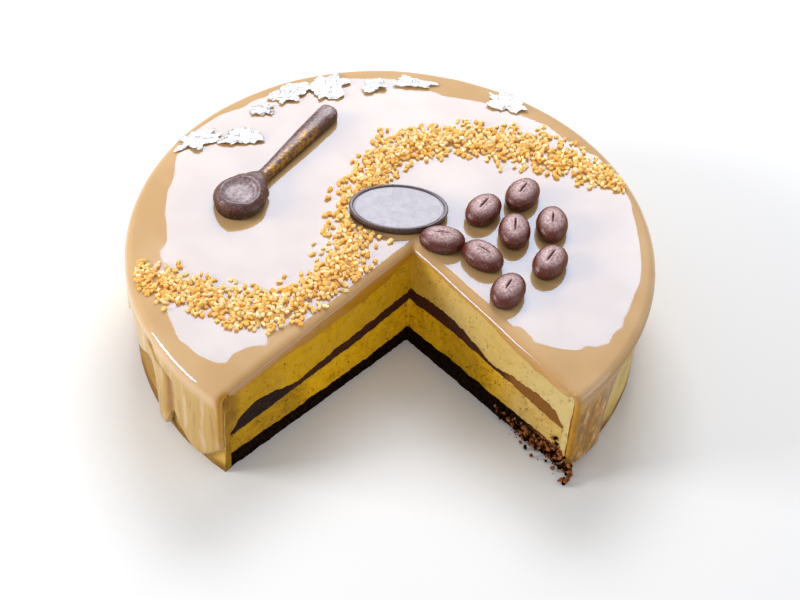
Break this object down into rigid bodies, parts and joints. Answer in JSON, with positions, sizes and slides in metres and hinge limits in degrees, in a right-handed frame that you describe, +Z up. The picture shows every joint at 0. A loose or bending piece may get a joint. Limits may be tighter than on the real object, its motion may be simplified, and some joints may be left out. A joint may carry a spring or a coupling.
{
  "type": "opera cake",
  "caption": "Round glazed opera cake with a wedge cut out to show its layers, topped with chocolate beans, a chocolate spoon, an oval plaque, gold crisps and silver leaf.",
  "frame": {"origin": "centre of the round cake on the face that it stands on", "axes": "+Z up; the missing wedge opens towards -Y; +X to the right as seen from the cut"},
  "size_m": [0.2182, 0.1999, 0.057],
  "materials": {
    "base_sponge": "dark moist chocolate sponge, open crumb",
    "lower_cream": "yellow cream, finely pitted",
    "chocolate_filling": "dense chocolate filling, satin",
    "coffee_mousse": "pale coffee mousse with small bubbles",
    "glaze": "caramel coffee mirror glaze, high gloss",
    "gold_crisps": "pearly gold coating",
    "chocolate": "moulded dark chocolate, satin with a faint bloom",
    "silver_leaf": "crumpled edible silver leaf"
  },
  "bodies": {
    "root": {"base_sponge": "base_sponge", "lower_cream": "lower_cream", "chocolate_filling": "chocolate_filling", "coffee_mousse": "coffee_mousse", "glaze": "glaze", "plaque": "chocolate", "chocolate_spoon": "chocolate", "coffee_bean_1": "chocolate", "coffee_bean_2": "chocolate", "coffee_bean_3": "chocolate", "coffee_bean_4": "chocolate", "coffee_bean_5": "chocolate", "coffee_bean_6": "chocolate", "coffee_bean_7": "chocolate", "coffee_bean_8": "chocolate", "silver_leaf_1": "silver_leaf", "silver_leaf_2": "silver_leaf", "silver_leaf_3": "silver_leaf", "silver_leaf_4": "silver_leaf", "silver_leaf_5": "silver_leaf", "silver_leaf_6": "silver_leaf", "silver_leaf_7": "silver_leaf", "silver_leaf_8": "silver_leaf"}
  },
  "joints": []
}
